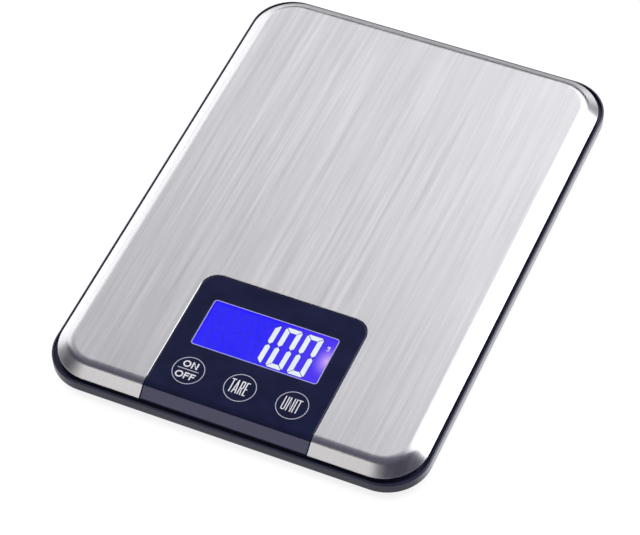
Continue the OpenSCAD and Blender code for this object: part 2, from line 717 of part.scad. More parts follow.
platform_pan();
platform_adhesive();
platform_carrier();
control_panel();
display_window();
lcd_glass();
lcd_backlight();
backlight_led();
lcd_connector();
main_board();
board_components();
touch_springs();
board_screws();
base_tray();
housing_screws();
load_cell_front_left();
load_cell_front_right();
load_cell_rear_left();
load_cell_rear_right();
strain_gauges();
sensor_leads();
battery_leads();
foot_cup_front_left();
foot_cup_front_right();
foot_cup_rear_left();
foot_cup_rear_right();
foot_pad_front_left();
foot_pad_front_right();
foot_pad_rear_left();
foot_pad_rear_right();
battery_cells();
battery_springs();
battery_plates();
battery_door();
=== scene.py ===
"""Looks of a slim digital kitchen scale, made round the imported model. Lengths are in millimetres until a mesh is
made."""

import json
import math

import bmesh
import bpy
import numpy as np
from mathutils import Matrix, Vector
from mathutils.geometry import delaunay_2d_cdt


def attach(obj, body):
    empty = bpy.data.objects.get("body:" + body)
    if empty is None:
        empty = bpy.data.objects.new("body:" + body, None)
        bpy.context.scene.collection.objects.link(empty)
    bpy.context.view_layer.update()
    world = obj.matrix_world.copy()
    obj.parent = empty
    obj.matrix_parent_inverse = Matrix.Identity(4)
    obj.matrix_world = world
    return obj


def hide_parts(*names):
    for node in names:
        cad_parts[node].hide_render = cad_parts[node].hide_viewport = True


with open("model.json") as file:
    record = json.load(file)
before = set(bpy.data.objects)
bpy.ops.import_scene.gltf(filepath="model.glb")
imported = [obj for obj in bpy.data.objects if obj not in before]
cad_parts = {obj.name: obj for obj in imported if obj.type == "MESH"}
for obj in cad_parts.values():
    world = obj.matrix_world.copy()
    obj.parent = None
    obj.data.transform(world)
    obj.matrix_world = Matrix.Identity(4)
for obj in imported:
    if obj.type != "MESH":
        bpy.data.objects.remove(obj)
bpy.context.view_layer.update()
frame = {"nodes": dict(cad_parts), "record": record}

MM = 0.001

# Steel platform: half sizes, corner radius, top, sheet thickness, bend radius, slope and drop of the skirt, then the
# slope's length, the skirt's run and the chamfer of the notch
STEEL_X, STEEL_Y, STEEL_R = 82.0, 113.75, 19.4
TOP_Z, SHEET, BEND, SLOPE_DEG, DROP = 18.0, 0.5, 6.0, 40, 4.8
SLOPE = math.radians(SLOPE_DEG)
SLOPE_L = (DROP - BEND * (1 - math.cos(SLOPE))) / math.sin(SLOPE)
RUN = BEND * math.sin(SLOPE) + SLOPE_L * math.cos(SLOPE)
NOTCH_CHAMFER = 0.2
# Rows this far beside a smooth edge keep its shading from running over the flat next to it
SUPPORT = 0.1

# Control panel: half width, rear edge, rear corner radius, sink under the steel, thickness and gap beside it
PANEL_X, PANEL_BACK, PANEL_R, SINK, PANEL_T, GAP = 37.1, -46.75, 7.5, 0.1, 1.5, 0.25
PANEL_Z = TOP_Z - SINK

# Window: middle, half sizes, corner radius, and the width and thickness of the lens flange under the panel
WINDOW_Y, WINDOW_X, WINDOW_L, WINDOW_R, FLANGE, FLANGE_T = -71.3, 28.3, 12.3, 1.5, 1.0, 0.5

# Keys: places of their middles, and the mean radius, half width and offset of the printed rings
KEY_X, KEY_Y = (-23.1, 0.0, 23.1), -96.3
RING_R, RING_HALF, RING_DX, RING_DY = 6.68, 0.165, 0.3, -0.15
# Height range of the print on the panel
PRINT_LOW, PRINT_HIGH = PANEL_Z - 0.02, PANEL_Z + 0.03

# Battery bay: middle line, offset of each cell from it, height of the cells' axes, and how far each cell lies towards
# its button end
BAY_Y, CELL_DY, CELL_Z, CELL_DX = 18, 5.55, 9.85, 2.9

# Feet: places of their axes, radius and height of the rubber sole
FOOT_X, FOOT_Y, SOLE_R, SOLE_H = 60, 91.75, 9.15, 1.4


def arc(x, y, radius, start, end, steps):
    """Points of a circle about x, y from angle start to end in degrees, in equal steps."""
    a = np.radians(np.linspace(start, end, steps + 1))
    return np.stack([x + radius * np.cos(a), y + radius * np.sin(a)], 1)


def rounded(half_x, half_y, radius, steps):
    """Rectangle with round corners about the origin, counterclockwise: four quarter circles in equal steps, joined by
    straight runs. Gives the points and, at each one, the direction straight outwards."""
    x, y = half_x - radius, half_y - radius
    corners = [(x, -y, -90), (x, y, 0), (-x, y, 90), (-x, -y, 180)]
    points = np.concatenate([arc(cx, cy, radius, a, a + 90, steps) for cx, cy, a in corners])
    out = np.concatenate([arc(0, 0, 1, a, a + 90, steps) for _, _, a in corners])
    return points, out


def strip(rows, columns, wrap_rows=False, wrap_columns=False):
    """Four-sided faces over a grid of points numbered row by row. A wrapped grid joins its last line to its first."""
    r = np.arange(rows if wrap_rows else rows - 1)[:, None]
    c = np.arange(columns if wrap_columns else columns - 1)[None, :]
    r2, c2 = (r + 1) % rows, (c + 1) % columns
    quads = np.stack(np.broadcast_arrays(r * columns + c, r2 * columns + c, r2 * columns + c2, r * columns + c2), -1)
    return quads.reshape(-1, 4)


def fill(outline, holes=()):
    """Triangles over a flat region with holes, from the constrained triangulation of its edges. A triangle counts as
    inside where a line from its middle crosses the edges an odd number of times."""
    loops = [np.asarray(outline), *map(np.asarray, holes)]
    starts = np.cumsum([0] + [len(loop) for loop in loops])
    edges = [(s + i, s + (i + 1) % len(loop)) for s, loop in zip(starts, loops) for i in range(len(loop))]
    points = np.concatenate(loops)
    _, _, faces, origins, _, _ = delaunay_2d_cdt([Vector(p) for p in points], edges, [], 1, 1e-6)
    faces = np.array([[origins[i][0] for i in face] for face in faces])
    x, y = points[faces].mean(1).T[:, :, None]
    a, b = np.concatenate(loops), np.concatenate([np.roll(loop, -1, 0) for loop in loops])
    rise = np.where(a[:, 1] == b[:, 1], 1.0, b[:, 1] - a[:, 1])
    across = a[:, 0] + (b[:, 0] - a[:, 0]) * (y - a[:, 1]) / rise
    crossed = ((a[:, 1] > y) != (b[:, 1] > y)) & (x < across)
    return faces[crossed.sum(1) % 2 == 1].tolist()


def piece(name, parts, material, body="scale", sharp=40):
    """One object at the origin from parts, each a pair of points in millimetres and faces, riding on its body. Doubles
    are merged, faces turned outwards, and edges sharper than the angle stay crisp."""
    points, faces, base = [], [], 0
    for part_points, part_faces in parts:
        points.append(np.asarray(part_points, float))
        faces += [[int(i) + base for i in face] for face in part_faces]
        base += len(points[-1])
    mesh = bpy.data.meshes.new(name)
    mesh.from_pydata((np.concatenate(points) * MM).tolist(), [], faces)
    work = bmesh.new()
    work.from_mesh(mesh)
    bmesh.ops.remove_doubles(work, verts=work.verts, dist=1e-7)
    bmesh.ops.recalc_face_normals(work, faces=work.faces)
    work.to_mesh(mesh)
    work.free()
    mesh.shade_smooth()
    mesh.set_sharp_from_angle(angle=math.radians(sharp))
    mesh.materials.append(material)
    thing = bpy.data.objects.new(name, mesh)
    bpy.context.scene.collection.objects.link(thing)
    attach(thing, body)
    return thing


def sweep(path, out, up, profile, closed=True):
    """A profile carried along a path: each point is path + profile x times out + profile y times up."""
    points = path[:, None] + profile[None, :, :1] * out[:, None] + profile[None, :, 1:] * up[:, None]
    return points.reshape(-1, 3), strip(len(path), len(profile), closed, False)


def flat(points, z):
    """Plan points raised to height z."""
    return np.column_stack([points, np.full(len(points), z)])


def band(points, out, profile, closed=True):
    """A profile of (outward offset, height) carried along a plan outline, round to its start if it is closed."""
    up = np.tile([0, 0, 1.0], (len(points), 1))
    return sweep(flat(points, 0), flat(out, 0), up, np.asarray(profile, float), closed)


def linear(code):
    """Linear colour of an sRGB hex code, by the sRGB curve."""
    c = np.array([int(code[i:i + 2], 16) for i in (0, 2, 4)]) / 255
    return (*np.where(c <= 0.04045, c / 12.92, ((c + 0.055) / 1.055) ** 2.4), 1.0)


def add(tree, kind, sockets=None, **settings):
    """A shader node of the kind, with its settings, and by socket name or number its plain values and links."""
    node = tree.nodes.new("ShaderNode" + kind)
    for key, value in settings.items():
        setattr(node, key, value)
    for key, value in (sockets or {}).items():
        if isinstance(value, bpy.types.NodeSocket):
            tree.links.new(value, node.inputs[key])
        else:
            node.inputs[key].default_value = value
    return node


def ramp(tree, value, start, end, low=0.0, high=1.0, **settings):
    """Output that goes from low to high while the value goes from start to end, and stays at the nearer one outside."""
    sockets = {"Value": value, "From Min": start, "From Max": end, "To Min": low, "To Max": high}
    return add(tree, "MapRange", sockets, **settings).outputs[0]


def blend(tree, factor, first, second):
    """Colour between two colours, given as outputs or as sRGB hex codes, by the factor."""
    colours = [linear(c) if isinstance(c, str) else c for c in (first, second)]
    return add(tree, "Mix", {"Factor": factor, 6: colours[0], 7: colours[1]}, data_type="RGBA").outputs[2]


def math_of(tree, operation, *values):
    """Output of a plain calculation with one or two values or outputs."""
    return add(tree, "Math", dict(enumerate(values)), operation=operation).outputs[0]


def begin(name, **sockets):
    """A new material with its node tree and its principled shader, whose plain values are set by socket name."""
    made = bpy.data.materials.new(name)
    made.use_nodes = True
    shader = made.node_tree.nodes["Principled BSDF"]
    for key, value in sockets.items():
        shader.inputs[key.replace("_", " ")].default_value = value
    return made, made.node_tree, shader


def grain(tree, shader, size, height, detail=2.0):
    """Fine bumps of a moulded or cast surface: noise of the size and height in millimetres, on object coordinates."""
    place = add(tree, "TexCoord").outputs["Object"]
    noise = add(tree, "TexNoise", {"Vector": place, "Scale": 1 / (size * MM), "Detail": detail, "Roughness": 0.6})
    bump = add(tree, "Bump", {"Height": noise.outputs[0], "Strength": 1.0, "Distance": height * MM})
    tree.links.new(bump.outputs[0], shader.inputs["Normal"])
    return noise.outputs[0]


def shades(tree, shader, factor, dark, light, low=0.3, high=0.7):
    """Colour that wanders between two close sRGB shades by the factor."""
    tree.links.new(blend(tree, ramp(tree, factor, low, high), dark, light), shader.inputs["Base Color"])


def gloss(tree, shader, factor, smooth, rough):
    """Roughness that wanders between two values by the factor."""
    tree.links.new(ramp(tree, factor, 0.3, 0.7, smooth, rough), shader.inputs["Roughness"])


def brushed_stainless():
    """Stainless steel 1.4301, belt-brushed along the length: soft streaks, and highlights drawn out across them.
    The belt's lines are about 0.1 mm apart and drawn 0.35 mm apart so that they show, 20 to 60 mm long."""
    made, tree, shader = begin("brushed_stainless_steel", Metallic=1.0, Anisotropic=0.7)
    place = add(tree, "TexCoord").outputs["Object"]
    fine_place = add(tree, "Mapping", {"Vector": place, "Scale": (2800, 26, 200)})
    fine = add(tree, "TexNoise", {"Vector": fine_place.outputs[0], "Scale": 1.0, "Detail": 3.0, "Roughness": 0.65})
    wide_place = add(tree, "Mapping", {"Vector": place, "Scale": (420, 8, 60)})
    wide = add(tree, "TexNoise", {"Vector": wide_place.outputs[0], "Scale": 1.0, "Detail": 3.0, "Roughness": 0.7})
    mean = math_of(tree, "MULTIPLY", math_of(tree, "ADD", fine.outputs[0], wide.outputs[0]), 0.5)
    shades(tree, shader, mean, "bababc", "cacacc", 0.35, 0.65)
    gloss(tree, shader, mean, 0.29, 0.35)
    bump = add(tree, "Bump", {"Height": fine.outputs[0], "Strength": 0.19, "Distance": 0.02 * MM})
    tree.links.new(bump.outputs[0], shader.inputs["Normal"])
    across = add(tree, "Tangent", direction_type="UV_MAP", uv_map="brushing")
    tree.links.new(across.outputs[0], shader.inputs["Tangent"])
    return made


def gloss_panel():
    """Injection-moulded acrylic-faced ABS in dark navy, polished: deep colour and a mirror-like sheen."""
    made, tree, shader = begin("polished_navy_abs", IOR=1.49, Specular_IOR_Level=0.5,
                               Specular_Tint=(0.72, 0.71, 1.0, 1.0))
    noise = grain(tree, shader, 9.0, 0.004, 1.0)
    shades(tree, shader, noise, "181c39", "1e2343")
    gloss(tree, shader, noise, 0.06, 0.10)
    return made


def moulded_abs():
    """Injection-moulded ABS in slate grey, spark-eroded finish: satin, with a grain of 0.25 mm drawn at 0.5 mm."""
    made, tree, shader = begin("moulded_slate_abs", IOR=1.53, Specular_Tint=(0.84, 0.83, 1.0, 1.0))
    noise = grain(tree, shader, 0.5, 0.012)
    shades(tree, shader, noise, "26283f", "2e304c")
    gloss(tree, shader, noise, 0.2, 0.28)
    return made


def clear_acrylic():
    """Cast acrylic, polished and clear: bends the view of the display a little and mirrors the room faintly."""
    made, tree, shader = begin("clear_acrylic", IOR=1.49, Transmission_Weight=1.0, Specular_IOR_Level=0.2)
    noise = grain(tree, shader, 12.0, 0.002, 0.0)
    shades(tree, shader, noise, "fbfbff", "ffffff")
    gloss(tree, shader, noise, 0.0, 0.01)
    return made


def backlit_glass():
    """Liquid crystal cell over a blue light guide: glows deep blue, goes over to violet from the middle to the right
    end, and has a lilac bloom at the side light, 6.5 mm wide and 9.5 mm high from its middle to its rim."""
    made, tree, shader = begin("backlit_blue_cell", Base_Color=linear("0a0830"), Roughness=0.2, Specular_IOR_Level=0.2)
    place = add(tree, "TexCoord").outputs["Object"]
    shift = add(tree, "Mapping", {"Vector": place, "Location": (-27.2 * MM, 70.6 * MM, -16.3 * MM)})
    squeeze = add(tree, "Mapping", {"Vector": shift.outputs[0], "Scale": (1 / (6.5 * MM), 1 / (9.5 * MM), 0)})
    bloom = add(tree, "TexGradient", {"Vector": squeeze.outputs[0]}, gradient_type="QUADRATIC_SPHERE")
    axes = add(tree, "SeparateXYZ", {0: place})
    clouds = add(tree, "TexNoise", {"Vector": place, "Scale": 120.0, "Detail": 1.0})
    blues = blend(tree, ramp(tree, clouds.outputs[0], 0.3, 0.7), "1c0cff", "2214ff")
    violet = blend(tree, ramp(tree, axes.outputs[0], -5 * MM, 28 * MM), blues, "4a2ef4")
    tree.links.new(blend(tree, bloom.outputs[0], violet, "e2b6ff"), shader.inputs["Emission Color"])
    shader.inputs["Emission Strength"].default_value = 1.0
    return made


def lit_segment(name, near, far):
    """Clear part of a liquid crystal cell: the light guide shines through it, a little uneven over 3 mm. A dark copy of
    it glows as painted shadow round the lit bars.
    """
    made, tree, shader = begin(name, Base_Color=linear("101020"), Roughness=0.3, Specular_IOR_Level=0.2,
                               Emission_Strength=1.0)
    place = add(tree, "TexCoord").outputs["Object"]
    clouds = add(tree, "TexNoise", {"Vector": place, "Scale": 330.0, "Detail": 1.0})
    lit = blend(tree, ramp(tree, clouds.outputs[0], 0.35, 0.65), near, far)
    tree.links.new(lit, shader.inputs["Emission Color"])
    return made


def screen_ink(name, dark, light):
    """Screen-printed ink: a matt film, with a mesh of 0.12 mm drawn at 0.25 mm."""
    made, tree, shader = begin(name, IOR=1.48)
    noise = grain(tree, shader, 0.25, 0.004)
    shades(tree, shader, noise, dark, light)
    gloss(tree, shader, noise, 0.4, 0.55)
    return made


def plain_finish(name, dark, light, smooth, rough, size, height, **sockets):
    """A cast, pressed, plated or moulded finish: two close shades and a grain of the size and height in millimetres."""
    made, tree, shader = begin(name, **sockets)
    noise = grain(tree, shader, size, height)
    shades(tree, shader, noise, dark, light)
    gloss(tree, shader, noise, smooth, rough)
    return made


def solder_mask():
    """Glass-epoxy board under green solder mask: copper tracks show as paler lines round cells of about 3 by 9 mm, and
    are 0.4 mm wide on their long sides."""
    made, tree, shader = begin("green_solder_mask_on_fr4", IOR=1.5)
    place = add(tree, "TexCoord").outputs["Object"]
    stretch = add(tree, "Mapping", {"Vector": place, "Scale": (1 / (3 * MM), 1 / (9 * MM), 1 / (9 * MM))})
    cells = add(tree, "TexVoronoi", {"Vector": stretch.outputs[0], "Scale": 1.0}, feature="DISTANCE_TO_EDGE")
    track = ramp(tree, cells.outputs[0], 0.05, 0.09, 1.0, 0.0)
    tree.links.new(blend(tree, track, "0c4a26", "1c6a3a"), shader.inputs["Base Color"])
    bump = add(tree, "Bump", {"Height": track, "Distance": 0.03 * MM})
    tree.links.new(bump.outputs[0], shader.inputs["Normal"])
    gloss(tree, shader, cells.outputs[0], 0.25, 0.35)
    return made


def cell_sleeve():
    """AAA cells: a printed shrink sleeve, graphite, and copper from 11 mm off the scale's middle to the button end,
    where the rim and the button are nickel-plated steel from 24.4 mm on. The cells lie head to tail, so the button end
    is the right one of the rear cell and the left one of the front cell."""
    made, tree, shader = begin("shrink_sleeve_on_steel_can", IOR=1.5)
    place = add(tree, "TexCoord").outputs["Object"]
    axes = add(tree, "SeparateXYZ", {0: place})
    end = math_of(tree, "GREATER_THAN", math_of(tree, "ABSOLUTE", axes.outputs[0]), 24.4 * MM)
    rear_cell = math_of(tree, "GREATER_THAN", axes.outputs[1], BAY_Y * MM)
    toward = math_of(tree, "MULTIPLY", axes.outputs[0], ramp(tree, rear_cell, 0.0, 1.0, -1.0, 1.0))
    copper = math_of(tree, "GREATER_THAN", toward, 11 * MM)
    noise = grain(tree, shader, 0.6, 0.006)
    printed = blend(tree, copper, "26282c", "a86a3c")
    tree.links.new(blend(tree, end, printed, "c8c6c0"), shader.inputs["Base Color"])
    tree.links.new(end, shader.inputs["Metallic"])
    gloss(tree, shader, noise, 0.24, 0.34)
    return made


steel = brushed_stainless()
navy = gloss_panel()
slate = moulded_abs()
clear = clear_acrylic()
blue = backlit_glass()
digit_light = lit_segment("lit_digit_segment", "ebf2fa", "f1f8fe")
# Dark blue glow of the painted shadow round the lit bars
digit_painted_shadow = lit_segment("painted_shadow_under_segment", "2418a8", "2a1cb8")
ghost_light = lit_segment("unlit_segment", "160af4", "1c12f8")
white_ink = screen_ink("white_screen_ink", "f4f4f8", "fcfcff")
lilac_ink = screen_ink("lilac_grey_screen_ink", "c8c8d6", "d4d4e2")
# Pale lilac matt line round the window, given the inks' finish
pale_window_line_finish = screen_ink("pale_lilac_window_line", "b8b6e6", "cccaf4")

# Double-sided acrylic foam tape: cream, matt, closed cells of 0.3 mm drawn at 0.5 mm
tape = plain_finish("acrylic_foam_tape", "d2d0c6", "dedcd2", 0.7, 0.85, 0.5, 0.02)
# Milky acrylic light guide: white, with a dot print of 0.6 mm
guide = plain_finish("milky_acrylic", "e4e6f0", "f2f4fa", 0.2, 0.35, 0.6, 0.01)
# Epoxy lens on a white reflector cup: warm yellow-white, satin
phosphor = plain_finish("phosphor_epoxy", "e0d8b0", "ece6c4", 0.25, 0.35, 0.4, 0.01)
# Zebra strip: black silicone rubber with carbon layers, matt
zebra = plain_finish("silicone_rubber_zebra_strip", "1c1c1e", "26262a", 0.7, 0.85, 0.3, 0.015)
# Glob-top and transistor-package epoxy: near black, cast, satin
epoxy = plain_finish("cast_black_epoxy", "121214", "1c1c20", 0.35, 0.55, 0.5, 0.02)
# Phosphor bronze wire, drawn and gold-flashed: warm yellow metal
bronze = plain_finish("drawn_phosphor_bronze", "c89c50", "dcb068", 0.2, 0.32, 0.4, 0.005, Metallic=1.0)
# Spring steel, nickel-plated: pale yellowish white metal
nickel = plain_finish("nickel_plated_spring_steel", "bcb8ae", "cecac0", 0.2, 0.34, 0.5, 0.005, Metallic=1.0)
# Steel screws, zinc-plated and blue-passivated: cool grey metal
zinc = plain_finish("zinc_plated_steel", "9a9ea6", "b2b6bc", 0.28, 0.42, 0.4, 0.01, Metallic=1.0)
# Alloy steel of the load cells, ground and nickel-washed: dull silver
ground = plain_finish("ground_alloy_steel", "8e9094", "a4a6aa", 0.32, 0.48, 0.7, 0.012, Metallic=1.0)
# Silicone coating over the gauge: white, rubbery, poured
coating = plain_finish("poured_white_silicone", "d6d4cc", "e4e2da", 0.45, 0.6, 0.8, 0.03)
# PVC sleeves of the leads: soft satin plastic in red, black, white and green
red_pvc = plain_finish("red_pvc_sleeve", "a81414", "bc1e1c", 0.35, 0.5, 0.6, 0.008)
black_pvc = plain_finish("black_pvc_sleeve", "161618", "202024", 0.35, 0.5, 0.6, 0.008)
white_pvc = plain_finish("white_pvc_sleeve", "d8d8d6", "e6e6e4", 0.35, 0.5, 0.6, 0.008)
# Thermoplastic rubber of the soles: near black, matt, moulded
rubber = plain_finish("moulded_black_rubber", "1a1a1c", "242426", 0.65, 0.82, 0.4, 0.03)
board_mask = solder_mask()
sleeve = cell_sleeve()

FINISH_BY_SLOT = {
    "brushed_steel": steel, "adhesive_film": tape, "housing_plastic": slate, "panel_plastic": navy,
    "window_clear": clear, "lcd_blue": blue, "light_guide": guide, "led_body": phosphor, "contact_rubber": zebra,
    "circuit_board": board_mask, "component_black": epoxy, "spring_brass": bronze, "nickel_plate": nickel,
    "zinc_screw": zinc, "cell_steel": ground, "gauge_coating": coating, "lead_sleeve": white_pvc,
    "foot_rubber": rubber, "battery_sleeve": sleeve,
}
for row in frame["record"]["subparts"]:
    for holder in frame["nodes"][row["node"]].material_slots:
        holder.material = FINISH_BY_SLOT[row["material_slot"]]


def steel_platform():
    """The sheet's section, a flat, a bend, a slope and a round trimmed edge, carried round the outline from one side of
    the notch to the other. Flat fills, which start a margin inside the bend, close the top and the underside. A wall
    with a small chamfer, which begins over a short taper, lines the notch. The UV layer is the plan, so that the
    steel's tangent runs across the brushing."""
    c, s, margin, taper = math.cos(SLOPE), math.sin(SLOPE), 0.5, 0.4
    flat_in, steep = -RUN - margin, 90 - SLOPE_DEG
    outer = arc(-RUN, TOP_Z - BEND, BEND, 90, steep, 14)
    inner = arc(-RUN, TOP_Z - BEND, BEND - SHEET, steep, 90, 14)
    down = np.array([c, -s])
    tip = outer[-1] + (SLOPE_L - SHEET / 2) * down - SHEET / 2 * np.array([s, c])
    edge = arc(*tip, SHEET / 2, steep, steep - 180, 8)
    near = SUPPORT * down
    profile = np.concatenate([[[flat_in, TOP_Z]], outer, [outer[-1] + near, edge[0] - near], edge,
                              [edge[-1] - near, inner[0] + near], inner, [[flat_in, TOP_Z - SHEET]]])
    ring, out = rounded(STEEL_X, STEEL_Y, STEEL_R, 20)
    side = PANEL_X + GAP
    ring = np.concatenate([[[side, -STEEL_Y]], ring, [[-side, -STEEL_Y]]])
    out = np.concatenate([[[0, -1]], out, [[0, -1]]])
    skirt = band(ring, out, profile, False)
    inside = ring + flat_in * out
    r = PANEL_R + GAP
    back = PANEL_BACK + GAP
    notch = np.concatenate([[inside[-1]], [[-side, inside[-1][1] + taper]], arc(-side + r, back - r, r, 180, 90, 12),
                            arc(side - r, back - r, r, 90, 0, 12), [[side, inside[0][1] + taper]], [inside[0]]])
    away = np.concatenate([[[-1, 0]] * 2, arc(0, 0, 1, 180, 90, 12), arc(0, 0, 1, 90, 0, 12), [[1, 0]] * 2])
    chamfer = np.full((len(notch), 1), NOTCH_CHAMFER)
    chamfer[[0, -1]] = 0
    top_loop = np.concatenate([inside, (notch + chamfer * away)[1:-1]])
    low_loop = np.concatenate([inside, notch[1:-1]])
    wall = np.stack([flat(notch + chamfer * away, TOP_Z), np.column_stack([notch, TOP_Z - chamfer[:, 0]]),
                     flat(notch, TOP_Z - SHEET)], 1).reshape(-1, 3)
    end = len(ring) * len(profile)
    caps = [list(range(len(profile))), list(range(end - len(profile), end))]
    made = piece("steel_platform", [(skirt[0], list(skirt[1]) + caps), (flat(top_loop, TOP_Z), fill(top_loop)),
                                    (flat(low_loop, TOP_Z - SHEET), fill(low_loop)), (wall, strip(len(notch), 3))],
                 steel, sharp=38)
    layer = made.data.uv_layers.new(name="brushing")
    place = np.zeros(len(made.data.vertices) * 3)
    made.data.vertices.foreach_get("co", place)
    corner = np.zeros(len(made.data.loops), int)
    made.data.loops.foreach_get("vertex_index", corner)
    layer.data.foreach_set("uv", place.reshape(-1, 3)[corner, :2].ravel())
    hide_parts("platform_pan")


def panel_outline():
    """Half of the panel's outline on its curved top: a small corner on the slope, the side up the slope, over the bend
    and along the flat, and a quarter circle to the rear edge. Gives places, outward directions and surface normals."""
    c, s, corner = math.cos(SLOPE), math.sin(SLOPE), 0.8
    start = np.array([0, RUN - STEEL_Y, TOP_Z - BEND]) + (BEND - SINK) * np.array([0, -s, c])
    turn = arc(0, 0, 1, -90, 0, 6)
    low = start + (PANEL_X - corner + corner * turn[:, :1]) * [1, 0, 0]
    low = low + (SLOPE_L - corner - corner * turn[:, 1:]) * [0, -c, -s]
    low_out = turn[:, :1] * [1, 0, 0] - turn[:, 1:] * [0, -c, -s]
    tilt = np.radians(np.linspace(SLOPE_DEG, 0, 15))[:, None]
    over = np.sin(tilt) * [0, -1, 0] + np.cos(tilt) * [0, 0, 1]
    bend = [PANEL_X, RUN - STEEL_Y, TOP_Z - BEND] + (BEND - SINK) * over
    rear = flat(arc(PANEL_X - PANEL_R, PANEL_BACK - PANEL_R, PANEL_R, 0, 90, 14), PANEL_Z)
    place = np.concatenate([low, bend, rear])
    out = np.concatenate([low_out, np.tile([1.0, 0, 0], (len(bend), 1)), flat(arc(0, 0, 1, 0, 90, 14), 0)])
    normal = np.concatenate([np.tile([0, -s, c], (len(low), 1)), np.hstack([0 * tilt, -np.sin(tilt), np.cos(tilt)]),
                             np.tile([0, 0, 1.0], (len(rear), 1))])
    return place, out, normal, len(low), len(low) + len(bend) - 1


def window_outline():
    """Outline of the window's opening and, at each point, the direction straight outwards."""
    points, out = rounded(WINDOW_X, WINDOW_L, WINDOW_R, 8)
    return points + [0, WINDOW_Y], out


def panel_cover():
    """The panel's rounded edge profile carried round its outline. Straight rows from side to side close the slope and
    the bend, and flat fills with the window's opening close the rest, above and below. The opening's own profile, a
    small chamfer, a wall and the recess for the lens flange, is carried round the window."""
    place, out, normal, slope, level = panel_outline()
    flip = np.array([-1.0, 1, 1])
    path, outs = np.concatenate([place, place[::-1] * flip]), np.concatenate([out, out[::-1] * flip])
    normals = np.concatenate([normal, normal[::-1]])
    edge_r, inset = 0.3, 0.7
    profile = np.concatenate([[[-inset, 0]], arc(-edge_r, -edge_r, edge_r, 90, 0, 5),
                              [[0, -PANEL_T], [-inset, -PANEL_T]]])
    edge = sweep(path, outs, normals, profile)
    rows = len(path)
    parts = [edge]
    shape, away = window_outline()
    lip, chamfer, beyond = 0.35, 0.08, 0.4
    for column, offset in ((0, lip), (len(profile) - 1, FLANGE + beyond)):
        loop = edge[0].reshape(rows, -1, 3)[:, column]
        pairs = np.arange(slope - 1, level)
        sheet = np.stack([pairs, pairs + 1, rows - 2 - pairs, rows - 1 - pairs], 1).tolist()
        front = list(range(slope)) + list(range(rows - slope, rows))
        parts.append((loop, sheet + [front]))
        flat_loop = loop[level:rows - level]
        hole = shape + offset * away
        faces = fill(flat_loop[:, :2], [hole])
        parts.append((flat(np.concatenate([flat_loop[:, :2], hole]), flat_loop[0, 2]), faces))
    low = PANEL_Z - PANEL_T
    opening = [(lip, PANEL_Z), (chamfer, PANEL_Z), (0, PANEL_Z - chamfer), (0, low + FLANGE_T),
               (FLANGE, low + FLANGE_T), (FLANGE, low), (FLANGE + beyond, low)]
    parts.append(band(shape, away, opening))
    made = piece("panel_cover", parts, navy, sharp=50)
    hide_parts("control_panel")


def window_lens():
    """Clear lens: its edge profile, with a hair chamfer as wide as its play on top and a flange below, carried round
    the opening, and two flat fills."""
    shape, away = window_outline()
    low, play, inset = PANEL_Z - PANEL_T, 0.05, 0.5
    profile = [(-inset, PANEL_Z), (-2 * play, PANEL_Z), (-play, PANEL_Z - play), (-play, low + FLANGE_T),
               (FLANGE - play, low + FLANGE_T), (FLANGE - play, low), (-inset, low)]
    caps = [(flat(shape - inset * away, z), fill(shape - inset * away)) for z in (PANEL_Z, low)]
    made = piece("window_lens", [band(shape, away, profile)] + caps, clear, sharp=30)
    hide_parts("display_window")


def ribbon(points, out, inner, outer, low, high):
    """Flat printed line round a closed outline, from offset inner to outer and from height low to high."""
    profile = [(inner, low), (inner, high), (outer, high), (outer, low)]
    return band(points, out, profile)[0], strip(len(points), 4, True, True)


def plate(outline, low, high, holes=()):
    """Flat plate of a plan outline with holes between two heights: two fills, and a wall on every edge."""
    loops = [np.asarray(outline, float), *[np.asarray(hole, float) for hole in holes]]
    faces = fill(loops[0], loops[1:])
    points = np.concatenate(loops)
    parts = [(flat(points, high), faces), (flat(points, low), faces)]
    for loop in loops:
        parts.append((np.stack([flat(loop, high), flat(loop, low)], 1).reshape(-1, 3), strip(len(loop), 2, True)))
    return parts


# Digits of the display: width, height, stroke, corner cut, gap and lean of one digit, then their middle line, their
# pitch, the right end of the last one, and the width of the painted shadow round them
DIGIT_W, DIGIT_H, STROKE, CUT, SPACE, LEAN = 7.4, 21.3, 2.15, 0.8, 0.2, math.tan(math.radians(1.5))
DIGIT_Y, DIGIT_PITCH, DIGIT_RIGHT, PAINTED_SHADOW_W = -71.2, 9.5, 21.6, 0.28
# Height of the glass, and the height ranges of the painted shadows and unlit bars, and of the lit bars above them
GLASS_Z = 16.3
UNDER, OVER = (GLASS_Z, GLASS_Z + 0.01), (GLASS_Z + 0.012, GLASS_Z + 0.03)
# Place of the unit sign, a small g
UNIT_SIGN = np.array([25.0, -63.9])


def digit_place(points, cell):
    """Points of a digit cell leant over and moved to the display, cell 0 at the right."""
    points = np.asarray(points, float)
    x = points[:, 0] + (points[:, 1] - DIGIT_H / 2) * LEAN + DIGIT_RIGHT - DIGIT_W - cell * DIGIT_PITCH
    return np.stack([x, points[:, 1] - DIGIT_H / 2 + DIGIT_Y], 1)


